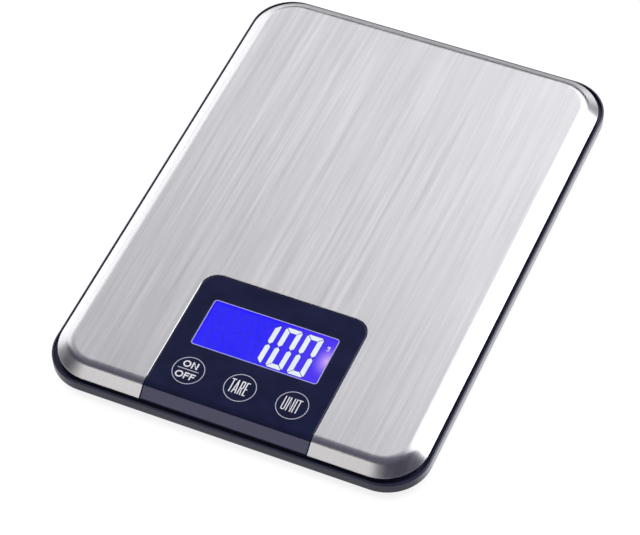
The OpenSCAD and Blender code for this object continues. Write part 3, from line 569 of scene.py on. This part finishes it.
def segments(lit):
    """Outlines of a digit's bars, named a to g: bars with cut corners and pointed waists, mirrored from two of them."""
    w, h, t, c, g = DIGIT_W, DIGIT_H, STROKE, CUT, SPACE
    top = [(c / 2 + g, h - c / 2), (c, h), (w - c, h), (w - c / 2 - g, h - c / 2), (w - t - g, h - t), (t + g, h - t)]
    side = [(w - t, h - t - g), (w - c / 2, h - c / 2 - g), (w, h - c - g),
            (w, h / 2 + t / 2 + g), (w - t / 2, h / 2 + g), (w - t, h / 2 + t / 2 + g)]
    bar = [(t / 2 + g, h / 2), (t, h / 2 + t / 2), (w - t, h / 2 + t / 2),
           (w - t / 2 - g, h / 2), (w - t, h / 2 - t / 2), (t, h / 2 - t / 2)]
    shapes = {"a": top, "d": [(x, h - y) for x, y in top], "g": bar}
    shapes.update(b=side, c=[(x, h - y) for x, y in side], f=[(w - x, y) for x, y in side],
                  e=[(w - x, h - y) for x, y in side])
    return [shapes[name] for name in lit]


def painted_shadow_outline(lit):
    """Painted shadow round the lit bars, a dark glowing edge: the digit's outer outline with its waists, grown a
    little, and its inner one.
    """
    w, h, t, c, e = DIGIT_W, DIGIT_H, STROKE, CUT, PAINTED_SHADOW_W
    outer = [(c, -e), (w - c, -e), (w + e, c), (w + e, h / 2 - t / 2), (w - t / 2 + e, h / 2), (w + e, h / 2 + t / 2),
             (w + e, h - c), (w - c, h + e), (c, h + e), (-e, h - c), (-e, h / 2 + t / 2), (t / 2 - e, h / 2),
             (-e, h / 2 - t / 2), (-e, c)]
    inner = [(t + e, t + e), (w - t - e, t + e), (w - t - e, h / 2 - t / 2), (w - t / 2 - e, h / 2),
             (w - t - e, h / 2 + t / 2), (w - t - e, h - t - e), (t + e, h - t - e), (t + e, h / 2 + t / 2),
             (t / 2 + e, h / 2), (t + e, h / 2 - t / 2)]
    if lit == "bc":
        outer = [(w - t - e, t - 0.2), (w - c, -e), (w + e, c), (w + e, h / 2 - t / 2), (w - t / 2 + e, h / 2),
                 (w + e, h / 2 + t / 2), (w + e, h - c), (w - c, h + e), (w - t - e, h - t + 0.2),
                 (w - t - e, h / 2 + t / 2), (w - t / 2 - e, h / 2), (w - t - e, h / 2 - t / 2)]
        return outer, ()
    return outer, (inner,)


def display_print():
    """The lit digits 1, 0 and 0, their painted shadows, the faint unlit bars of the other places, and the unit sign,
    which is a ring over a hook."""
    shown = {2: "bc", 1: "abcdef", 0: "abcdef"}
    lit, painted_shadow_plates, faint = [], [], []
    for cell, names in shown.items():
        for outline in segments(names):
            lit += plate(digit_place(outline, cell), *OVER)
        outer, holes = painted_shadow_outline(names)
        painted_shadow_plates += plate(digit_place(outer, cell), *UNDER, [digit_place(hole, cell) for hole in holes])
    for cell in (4, 3, 2):
        for outline in segments("adefg" if cell == 2 else "abcdefg"):
            faint += plate(digit_place(outline, cell), *UNDER)
    ring = arc(0, 0, 1, 0, 360, 20)[:-1]
    lit += plate(ring * [0.4, 0.6] + UNIT_SIGN, *OVER, [ring * [0.16, 0.3] + UNIT_SIGN])
    hook = [(0.42, 0.6), (0.42, -1.35), (0.3, -1.5), (-0.3, -1.5), (-0.3, -1.8), (0.4, -1.8), (0.68, -1.5), (0.68, 0.6)]
    lit += plate(np.array(hook) + UNIT_SIGN, *OVER)
    piece("digit_segments", lit, digit_light, sharp=20)
    piece("digit_painted_shadows", painted_shadow_plates, digit_painted_shadow, sharp=20)
    piece("unlit_segments", faint, ghost_light, sharp=20)


def letter(name, w, h, t):
    """Outline and holes of a plain capital of the width, height and stroke: straight bars, mitred diagonals, and
    quarter or half ellipses where it is round. The last lines draw the R, which is left when the others are not meant.
    m is the height of a middle bar, and r the radius of the bowl's corners."""
    m, r = h * 0.45, min(w, h) * 0.3
    if name == "I":
        return [(0, 0), (w, 0), (w, h), (0, h)], []
    if name == "T":
        a, b = (w - t) / 2, (w + t) / 2
        return [(a, 0), (b, 0), (b, h - t), (w, h - t), (w, h), (0, h), (0, h - t), (a, h - t)], []
    if name in "EF":
        bars = [(t, m), (w * 0.9, m), (w * 0.9, m + t), (t, m + t), (t, h - t), (w, h - t), (w, h), (0, h)]
        foot = [(0, 0), (w, 0), (w, t), (t, t)] if name == "E" else [(0, 0), (t, 0)]
        return foot + bars, []
    if name == "N":
        d = t * 1.04
        return [(0, 0), (t, 0), (t, h - d), (w - t, 0), (w, 0), (w, h), (w - t, h), (w - t, d), (t, h), (0, h)], []
    if name == "U":
        bowl, inner = arc(0, 0, 1, 180, 360, 14), arc(0, 0, 1, 0, -180, 14)
        low = [w / 2, w / 2] + bowl * w / 2
        high = [w / 2, w / 2] + inner * (w / 2 - t)
        return np.concatenate([[(0, h)], low, [(w, h), (w - t, h)], high, [(t, h)]]), []
    if name == "O":
        turn = arc(0, 0, 1, 0, 360, 28)[:-1]
        return turn * [w / 2, h / 2] + [w / 2, h / 2], [turn * [w / 2 - t, h / 2 - t] + [w / 2, h / 2]]
    if name == "A":
        tip, low, high = t * 0.5, h * 0.2, h * 0.2 + t * 0.9
        lean = (w / 2 - tip) / h
        foot = t * 0.98
        edge, eye_x, peak = foot + lean * low, foot + lean * high, h * (w / 2 - foot) / (w / 2 - tip)
        outline = [(0, 0), (foot, 0), (edge, low), (w - edge, low), (w - foot, 0), (w, 0),
                   (w / 2 + tip, h), (w / 2 - tip, h)]
        return outline, [[(eye_x, high), (w - eye_x, high), (w / 2, peak)]]
    bowl = np.concatenate([arc(w - r, m + r, r, -90, 0, 6), arc(w - r, h - r, r, 0, 90, 6)])
    eye_r = max(r - t * 0.6, 0.1)
    eye = np.concatenate([arc(w - t - eye_r, m + t * 0.9 + eye_r, eye_r, -90, 0, 6),
                          arc(w - t - eye_r, h - t - eye_r, eye_r, 0, 90, 6), [(t, h - t), (t, m + t * 0.9)]])
    legs = [(0, 0), (t, 0), (t, m), (max(t * 1.1, w * 0.45), m), (w - t * 1.1, 0), (w, 0)]
    return np.concatenate([legs, bowl, [(0, h)]]), [eye]


def printed_word(text, middle, widths, gaps, height, stroke):
    """A word of plain capitals set side by side about its middle, as thin plates on the panel."""
    x = middle[0] - (sum(widths) + sum(gaps)) / 2
    parts = []
    for character, width, gap in zip(text, widths, [*gaps, 0]):
        outline, holes = letter(character, width, height, stroke)
        shift = [x, middle[1] - height / 2]
        parts += plate(np.array(outline) + shift, PRINT_LOW, PRINT_HIGH, [np.array(hole) + shift for hole in holes])
        x += width + gap
    return piece("key_word_" + text.lower(), parts, white_ink, sharp=20)


def key_print():
    """Ring lines round the three keys, the word or words in each, and the line between ON and OFF. A word has its
    middle, the widths of its letters, the gaps between them, their height and their stroke."""
    circle, out = arc(0, 0, RING_R, 0, 360, 72)[:-1], arc(0, 0, 1, 0, 360, 72)[:-1]
    rings = [ribbon(circle + [x + RING_DX, KEY_Y + RING_DY], out, -RING_HALF, RING_HALF, PRINT_LOW, PRINT_HIGH)
             for x in KEY_X]
    piece("key_rings", rings, lilac_ink, sharp=30)
    left, middle, right_key = KEY_X
    words = [("ON", (left, KEY_Y + 2.85), (3.4, 2.75), (0.45,), 3.25, 0.62),
             ("OFF", (left, KEY_Y - 2.85), (3.5, 2.2, 2.2), (0.42, 0.38), 3.3, 0.62),
             ("TARE", (middle - 0.35, KEY_Y), (1.9, 2.1, 1.7, 1.4), (0.05, 0.4, 0.44), 6.8, 0.52),
             ("UNIT", (right_key, KEY_Y), (1.8, 2.2, 0.46, 1.9), (0.48, 0.5, 0.28), 6.8, 0.46)]
    for word in words:
        printed_word(*word)
    bar = np.array([(-4.7, 0.0), (4.65, 0.0), (4.65, 0.38), (-4.7, 0.38)]) + [left, KEY_Y]
    piece("key_divider", plate(bar, PRINT_LOW, PRINT_HIGH), lilac_ink, sharp=20)


def window_line():
    """Pale lilac line round the window, on the rim of the lens."""
    line = ribbon(*window_outline(), -0.4, -0.06, PANEL_Z - 0.02, PANEL_Z + 0.02)
    piece("window_line", [line], pale_window_line_finish, sharp=30)


def tube(path, radius, sides=10):
    """Round wire along a path that is never upright: rings in the plane across the path, closed by flat ends."""
    ahead = np.gradient(path, axis=0)
    ahead /= np.linalg.norm(ahead, axis=1)[:, None]
    side = np.cross(ahead, [0, 0, 1.0])
    side /= np.linalg.norm(side, axis=1)[:, None]
    ring = arc(0, 0, radius, 0, 360, sides)[:-1]
    points = path[:, None] + ring[None, :, :1] * side[:, None] + ring[None, :, 1:] * np.cross(side, ahead)[:, None]
    end = len(path) * sides
    caps = [list(range(sides)), list(range(end - sides, end))]
    return points.reshape(-1, 3), list(strip(len(path), sides, False, True)) + caps


def coil_path(r0, r1, wire, low, high, turns, steps=24):
    """Helix that narrows from r0 to r1: its angle and radius go evenly, and its height too, except for a level quarter
    of a turn at each end, so that the end turns lie closed."""
    t = np.linspace(0, 1, turns * steps + 1)
    rise = np.clip((t - 0.5 / turns / 2) / (1 - 0.5 / turns), 0, 1)
    a, r = 2 * math.pi * turns * t, r0 + (r1 - r0) * t
    return np.stack([r * np.cos(a), r * np.sin(a), low + wire + (high - low - 2 * wire) * rise], 1)


def springs():
    """Touch springs: straight coils under the keys. Battery springs: tapered coils on the flat ends of the cells, made
    upright about the middle of a cell and then laid along X, because a tube's path must not stand upright."""
    touch_wire, cell_wire, turns = 0.24, 0.29, 4
    touch = [tube(coil_path(2.6, 2.6, touch_wire, 12.2, 16.4, turns) + [x, KEY_Y, 0], touch_wire) for x in KEY_X]
    made = piece("touch_spring_coils", touch, bronze)
    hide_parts("touch_springs")
    points, faces = tube(coil_path(4.2, 2.4, cell_wire, -28.5, -21.8, turns), cell_wire)
    x, y, z = points[:, 2] + CELL_DX, points[:, 1], -points[:, 0]
    cells = [(np.stack([s * x, s * y + BAY_Y + s * CELL_DY, z + CELL_Z], 1), faces) for s in (-1, 1)]
    made = piece("battery_spring_coils", cells, nickel)
    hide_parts("battery_springs")


def routed(corners, reach=4.0):
    """A route through corner points, with a parabola of the reach, or less on a short run, at every inner corner."""
    p = np.asarray(corners, float)
    back, ahead = p[:-2] - p[1:-1], p[2:] - p[1:-1]
    lb, la = np.linalg.norm(back, axis=1), np.linalg.norm(ahead, axis=1)
    r = np.minimum(reach, 0.45 * np.minimum(lb, la))[:, None]
    t = np.linspace(0, 1, 9)[None, :, None]
    arrive, leave = (r * back / lb[:, None])[:, None], (r * ahead / la[:, None])[:, None]
    bends = p[1:-1, None] + arrive * (1 - t) ** 2 + leave * t ** 2
    return np.concatenate([p[:1], bends.reshape(-1, 3), p[-1:]])


def dome(x, y, z, radius, height):
    """Half of a flattened ball that hangs under z: rings of a quarter turn, closed at its foot and its pole."""
    rows, around = 5, 16
    a = np.linspace(0, math.pi / 2, rows + 1)[:-1, None]
    b = np.linspace(0, 2 * math.pi, around + 1)[None, :-1]
    ring = np.stack([x + radius * np.cos(a) * np.cos(b), y + radius * np.cos(a) * np.sin(b),
                     z - height * np.sin(a) + 0 * b], -1)
    faces = list(strip(rows, around, False, True)) + [list(range(around))]
    pole, last = rows * around, (rows - 1) * around
    faces += [[last + i, last + (i + 1) % around, pole] for i in range(around)]
    return np.concatenate([ring.reshape(-1, 3), [[x, y, z - height]]]), faces


def leads():
    """Wires along the routes of the frame: three to each load cell, side by side, and two from the battery contacts,
    with a drop of solder where each one meets the board. The heights are those of a lead's axis on the load cell,
    under the board and on the base's floor, then the board's underside and the axis at a battery contact."""
    start, end, rest, board, contact = 10.7464, 10.6536, 6.9464, 11.0, 12.5964
    lead_r, pitch = 0.38, 0.95
    front = routed([(60, -97.75, start), (60, -103.75, start), (40.5, -103.75, start), (40.5, -95.75, end),
                    (34, -95.75, end)])
    rear_line = routed([(60, 85.75, start), (60, 75.75, start), (56, 65.75, rest), (56, -48.25, rest),
                        (40.5, -65.25, end), (33, -65.25, end)])
    drops = []
    for name, side, material in (("red", -1, red_pvc), ("white", 0, white_pvc), ("black", 1, black_pvc)):
        wires = []
        for line in (front, rear_line):
            ahead = np.gradient(line, axis=0)
            across = np.cross(ahead / np.linalg.norm(ahead, axis=1)[:, None], [0, 0, 1.0])
            across /= np.linalg.norm(across, axis=1)[:, None]
            path = line + side * pitch * across
            for m in (-1, 1):
                wires.append(tube(path * [m, 1, 1], lead_r))
                drops.append(dome(m * path[-1, 0], path[-1, 1], board, 0.46, 0.85))
        made = piece("sensor_leads_" + name, wires, material)
        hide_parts("sensor_leads")
    for name, s, material in (("black", -1, black_pvc), ("red", 1, red_pvc)):
        y, lane, finish = BAY_Y + s * CELL_DY, 31 + s * 0.6, 20 + s * 0.6
        path = routed([(27.5, y, contact), (lane, y, contact), (lane, y - 9, rest), (lane, -46.25, rest),
                       (finish, -53.25, end), (finish, -57.25, end)])
        made = piece("battery_lead_" + name, [tube(path, lead_r)], material)
        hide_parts("battery_leads")
        drops.append(dome(finish, -57.25, board, 0.5, 0.85))
    piece("solder_drops", drops, nickel)


def soles():
    """Rubber soles turned about each foot's axis: a soft outer edge, and round grooves a pitch apart on the underside,
    each one the upper half of a cosine wave's crest."""
    pitch, depth, soft, around = 2.1, 0.3, 0.45, 64
    r = np.linspace(0, 4 * pitch, 85)[1:]
    groove = depth * np.clip(np.cos((r - pitch) / pitch * 2 * math.pi) * 2 - 1, 0, 1)
    edge = arc(SOLE_R - soft, soft, soft, -90, 0, 6)
    profile = np.concatenate([np.stack([r, groove], 1), edge, [[SOLE_R, SOLE_H]]])
    rows = len(profile)
    out = arc(0, 0, 1, 0, 360, around)[:-1]
    for side, x in (("left", -FOOT_X), ("right", FOOT_X)):
        for end, y in (("front", -FOOT_Y), ("rear", FOOT_Y)):
            points, faces = band(np.tile([x, y], (around, 1)), out, profile)
            caps = [[i * rows + j for i in range(around)] for j in (0, rows - 1)]
            foot = f"{end}_{side}"
            made = piece("foot_sole_" + foot, [(points, list(faces) + caps)], rubber, "foot_" + foot, 30)
            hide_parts("foot_pad_" + foot)


def door_ribs():
    """Six round-topped ribs across the thumb end of the battery door: half ellipses carried along X, ends closed. They
    stand on the door's underside, from their first place on by a pitch."""
    half, first, pitch, under = 7.0, BAY_Y - 12.5, 1.6, 3.02
    shape = arc(0, 0, 1, 0, 180, 8) * [0.45, 0.3]
    ribs = []
    for i in range(6):
        points = [(x, first + i * pitch + a, under - b) for x in (-half, half) for a, b in shape]
        ribs.append((points, list(strip(2, 9, False, True)) + [list(range(9)), list(range(9, 18))]))
    piece("door_grip_ribs", ribs, slate, "battery_door", 50)


steel_platform()
panel_cover()
window_lens()
display_print()
key_print()
window_line()
springs()
leads()
soles()
door_ribs()

# Camera at the photograph's place, in metres, from the outlines: its right, up and back directions are the columns
eye = bpy.data.cameras.new("photo_eye")
eye.lens, eye.sensor_width, eye.clip_start, eye.clip_end = 151.77, 36.0, 0.05, 20.0
camera = bpy.data.objects.new("photo_eye", eye)
right = (0.913052, 0.405470, -0.043931)
up = (-0.291391, 0.723917, 0.625329)
rear = (0.285355, -0.558156, 0.779124)
turned = Matrix((right, up, rear)).transposed().to_4x4()
camera.matrix_world = Matrix.Translation((0.32571, -0.65484, 0.89349)) @ turned
bpy.context.scene.collection.objects.link(camera)
bpy.context.scene.camera = camera

# Pale floor: it keeps the object's shadow, and the camera sees it lifted to white, less where the object is near, which
# is painted contact shadow. A mirror sees it lifted too, more beside the object, to its left and to its right up to the
# front corner, and less behind it, as the photograph's reflections show. Lengths are in metres.
floor_mesh = bpy.data.meshes.new("floor")
floor_mesh.from_pydata([(-6, -6, 0), (6, -6, 0), (6, 6, 0), (-6, 6, 0)], [], [(0, 1, 2, 3)])
floor = bpy.data.objects.new("floor", floor_mesh)
bpy.context.scene.collection.objects.link(floor)
made, tree, shader = begin("white_paper_floor", Base_Color=linear("5a5a5e"), Roughness=0.9, Specular_IOR_Level=0.1)
path = add(tree, "LightPath")
contact = add(tree, "AmbientOcclusion", {"Distance": 0.006})
spot = add(tree, "SeparateXYZ", {0: add(tree, "TexCoord").outputs["Object"]})
# Painted contact shadow: the camera's lift to white drops where ambient occlusion finds the object within 6 mm
camera_lift_with_painted_shadow = ramp(tree, contact.outputs["AO"], 0.3, 1.0, 0.72, 0.98)
by_camera = math_of(tree, "MULTIPLY", path.outputs["Is Camera Ray"], camera_lift_with_painted_shadow)
left = ramp(tree, spot.outputs[0], -0.09, -0.12, 0.0, 1.5)
right_side = ramp(tree, spot.outputs[1], -0.108, -0.096, 0.0, 0.95)
beside = ramp(tree, spot.outputs[0], 0.06, 0.082, left, right_side)
behind = ramp(tree, spot.outputs[1], 0.08, 0.13, 0.7, 0.5)
by_mirror = math_of(tree, "MULTIPLY", path.outputs["Is Glossy Ray"], math_of(tree, "ADD", beside, behind))
shader.inputs["Emission Color"].default_value = (1, 1, 1, 1)
tree.links.new(math_of(tree, "ADD", by_camera, by_mirror), shader.inputs["Emission Strength"])
floor_mesh.materials.append(made)

# Room: a dim studio with soft boxes of light far off in the directions that the photograph's reflections show. The
# camera itself sees plain white behind the object.
world = bpy.data.worlds.new("studio")
bpy.context.scene.world = world
world.use_nodes = True
sky = world.node_tree
way = add(sky, "TexCoord").outputs["Generated"]


def softbox(azimuth, height, across, rise, side_soft, level_soft, colour):
    """Light of a box with soft edges in the sky, as a node output: the colour inside the half angles across and rise
    about its azimuth and height, all in degrees, and less of it by a smooth step over the soft angles beyond them."""
    turned = add(sky, "Mapping", {"Vector": way, "Rotation": (0, 0, -math.radians(azimuth))})
    axes = add(sky, "SeparateXYZ", {0: turned.outputs[0]})
    side = math_of(sky, "ARCTAN2", axes.outputs[1], axes.outputs[0])
    level = math_of(sky, "SUBTRACT", math_of(sky, "ARCSINE", axes.outputs[2]), math.radians(height))
    fades = [ramp(sky, math_of(sky, "ABSOLUTE", angle), math.radians(half), math.radians(half + soft), 1.0, 0.0,
                  interpolation_type="SMOOTHSTEP")
             for angle, half, soft in ((side, across, side_soft), (level, rise, level_soft))]
    inside = math_of(sky, "MULTIPLY", *fades)
    return add(sky, "VectorMath", {0: colour, "Scale": inside}, operation="SCALE").outputs[0]


# In turn: the ceiling, the key behind on the right, a fill behind on the left, the right and the left side, the front,
# low light in front, and a black card in the fill, which keeps the panel and the display from mirroring it
BOXES = (
    (0, 90, 180, 26, 16, 16, (0.09, 0.09, 0.12)),
    (65, 43.5, 27, 10.5, 15, 12.5, (3.5, 3.49, 3.47)),
    (122, 45, 14, 8, 10, 9, (0.45, 0.45, 0.45)),
    (38, 19, 8, 18, 8, 8, (3.0, 3.0, 3.0)),
    (148, 22, 18, 12, 10, 10, (2.0, 2.0, 2.0)),
    (-115, 41, 12, 4, 10, 5, (2.55, 2.47, 2.38)),
    (-100, 13, 30, 8, 14, 8, (0.6, 0.59, 0.58)),
    (119.4, 52.9, 5, 2.7, 3, 3, (-0.35, -0.35, -0.35)),
)
light = add(sky, "CombineXYZ", {0: 0.085, 1: 0.082, 2: 0.11}).outputs[0]
for box in BOXES:
    light = add(sky, "VectorMath", {0: light, 1: softbox(*box)}, operation="ADD").outputs[0]
room = sky.nodes["Background"]
sky.links.new(light, room.inputs["Color"])
view = add(sky, "LightPath")
white = add(sky, "Background", {"Color": (1, 1, 1, 1), "Strength": 1.0})
choose = add(sky, "MixShader", {0: view.outputs["Is Camera Ray"], 1: room.outputs[0], 2: white.outputs[0]})
sky.links.new(choose.outputs[0], sky.nodes["World Output"].inputs[0])

bpy.context.scene.view_settings.view_transform = "Standard"
